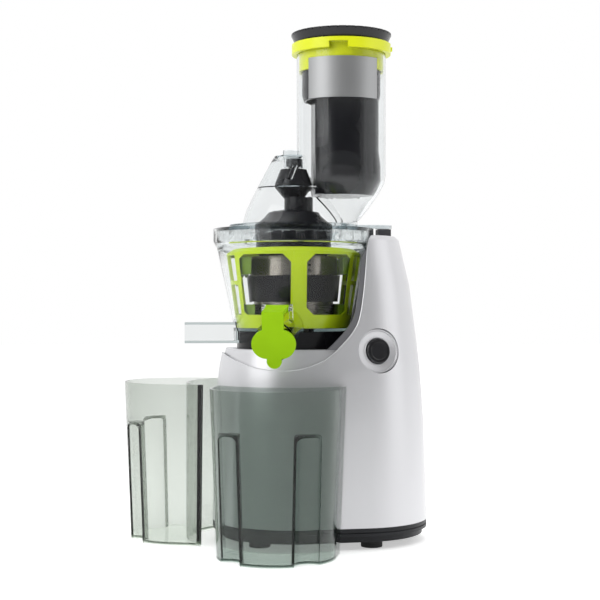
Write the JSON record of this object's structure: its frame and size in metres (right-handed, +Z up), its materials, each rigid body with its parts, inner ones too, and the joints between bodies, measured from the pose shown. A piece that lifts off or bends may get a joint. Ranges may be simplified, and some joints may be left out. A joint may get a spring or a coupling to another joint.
{
  "type": "cold press juicer",
  "caption": "Upright slow juicer: silver motor base with a tower, clear bowl with a green brush cage, wide feed chute with pusher, spouts and smoky cups.",
  "frame": {"origin": "middle of the whole object on the counter, cups included", "axes": "+Z up, -Y the front, +X towards the tower that stands behind the bowl"},
  "size_m": [0.3024, 0.2456, 0.5043],
  "materials": {
    "silver": "satin",
    "dark_liner": "satin",
    "black_plastic": "matte",
    "gloss_black": "gloss",
    "rubber": "matte",
    "steel": "brushed",
    "motor_can": "satin",
    "copper": "satin",
    "board": "gloss",
    "ivory_gear": "matte",
    "clear": "gloss",
    "smoke": "gloss",
    "frame_green": "gloss",
    "dark_green": "matte",
    "lime": "satin",
    "collar_yellow": "gloss",
    "label_silver": "satin",
    "milky_seal": "matte"
  },
  "bodies": {
    "base": {"body_shell": "silver", "deck": "silver", "tower_liner": "dark_liner", "base_plate": "black_plastic", "rubber_feet": "rubber", "bottom_screws": "steel", "coupling_collar": "gloss_black", "interlock_socket": "black_plastic", "gearbox_tray": "black_plastic", "gearbox_cover": "black_plastic", "gearbox_screws": "steel", "motor_housing": "motor_can", "motor_end_plate": "motor_can", "lower_motor_bearing": "steel", "upper_motor_bearing": "steel", "intermediate_pin": "steel", "output_bearing": "steel", "shaft_seal": "rubber", "control_board": "board", "button_dish": "silver", "button_switch": "black_plastic", "cord_gland": "rubber"},
    "button": {"button_cap": "gloss_black"},
    "motor": {"motor_rotor": "copper", "cooling_fan": "black_plastic"},
    "mid_gear": {"intermediate_gear": "ivory_gear"},
    "output": {"output_gear": "ivory_gear", "output_shaft": "steel"},
    "bowl": {"juice_bowl": "clear", "hub_seal": "rubber", "idler_pin": "steel", "strainer_base": "gloss_black", "strainer_mesh": "steel", "strainer_band": "gloss_black", "strainer_collar": "steel", "cap_hinge_pin": "steel"},
    "idler": {"idler_gear": "black_plastic"},
    "brush": {"brush_frame": "frame_green", "wiper_blades": "dark_green"},
    "auger": {"auger": "gloss_black", "auger_gear": "black_plastic", "auger_hex_insert": "steel"},
    "cap": {"juice_cap": "lime", "cap_seal": "milky_seal"},
    "lid": {"lid": "clear", "top_bushing": "black_plastic", "chute_collar": "collar_yellow", "label_plate": "label_silver"},
    "pusher": {"pusher_body": "gloss_black", "pusher_cap": "gloss_black"},
    "juice_cup": {"juice_cup": "smoke"},
    "pulp_cup": {"pulp_cup": "smoke"}
  },
  "joints": [
    {"name": "motor_spin", "type": "hinge", "parent": "base", "child": "motor", "pos_m": [0.03372, 0.01264, 0], "axis": [0, 0, 1], "continuous": true},
    {"name": "mid_gear_spin", "type": "hinge", "parent": "base", "child": "mid_gear", "pos_m": [0.06252, 0.03424, 0], "axis": [0, 0, 1], "continuous": true},
    {"name": "output_spin", "type": "hinge", "parent": "base", "child": "output", "pos_m": [0.01752, 0.03424, 0], "axis": [0, 0, 1], "continuous": true},
    {"name": "bowl_lift", "type": "slide", "parent": "base", "child": "bowl", "axis": [0, 0, 1], "range_m": [0, 0.12]},
    {"name": "auger_spin", "type": "hinge", "parent": "bowl", "child": "auger", "pos_m": [0.01752, 0.03424, 0], "axis": [0, 0, 1], "continuous": true},
    {"name": "idler_spin", "type": "hinge", "parent": "bowl", "child": "idler", "pos_m": [0.02737, 0.0613, 0], "axis": [0, 0, 1], "continuous": true},
    {"name": "brush_spin", "type": "hinge", "parent": "bowl", "child": "brush", "pos_m": [0.01752, 0.03424, 0], "axis": [0, 0, 1], "continuous": true},
    {"name": "cap_open", "type": "hinge", "parent": "bowl", "child": "cap", "pos_m": [-0.0053, -0.05726, 0.23059], "axis": [-0.9703, 0.2419, 0], "range_deg": [0, 100]},
    {"name": "lid_lift", "type": "slide", "parent": "bowl", "child": "lid", "axis": [0, 0, 1], "range_m": [0, 0.1]},
    {"name": "pusher_slide", "type": "slide", "parent": "lid", "child": "pusher", "axis": [0, 0, 1], "range_m": [0, 0.165]},
    {"name": "button_press", "type": "slide", "parent": "base", "child": "button", "axis": [-0.2741, 0.956, -0.1045], "range_m": [0, 0.0025], "stiffness_N_per_m": 400, "springref_m": -0.002},
    {"name": "juice_cup_slide", "type": "slide", "parent": "base", "child": "juice_cup", "axis": [-0.2419, -0.9703, 0], "range_m": [0, 0.1]},
    {"name": "pulp_cup_slide", "type": "slide", "parent": "base", "child": "pulp_cup", "axis": [-0.9703, 0.2419, 0], "range_m": [0, 0.1]}
  ],
  "couplings": [
    {"joint": "mid_gear_spin", "follows": "motor_spin", "ratio": -0.2},
    {"joint": "output_spin", "follows": "motor_spin", "ratio": 0.04},
    {"joint": "auger_spin", "follows": "motor_spin", "ratio": 0.04},
    {"joint": "idler_spin", "follows": "motor_spin", "ratio": -0.032},
    {"joint": "brush_spin", "follows": "motor_spin", "ratio": -0.011429}
  ]
}
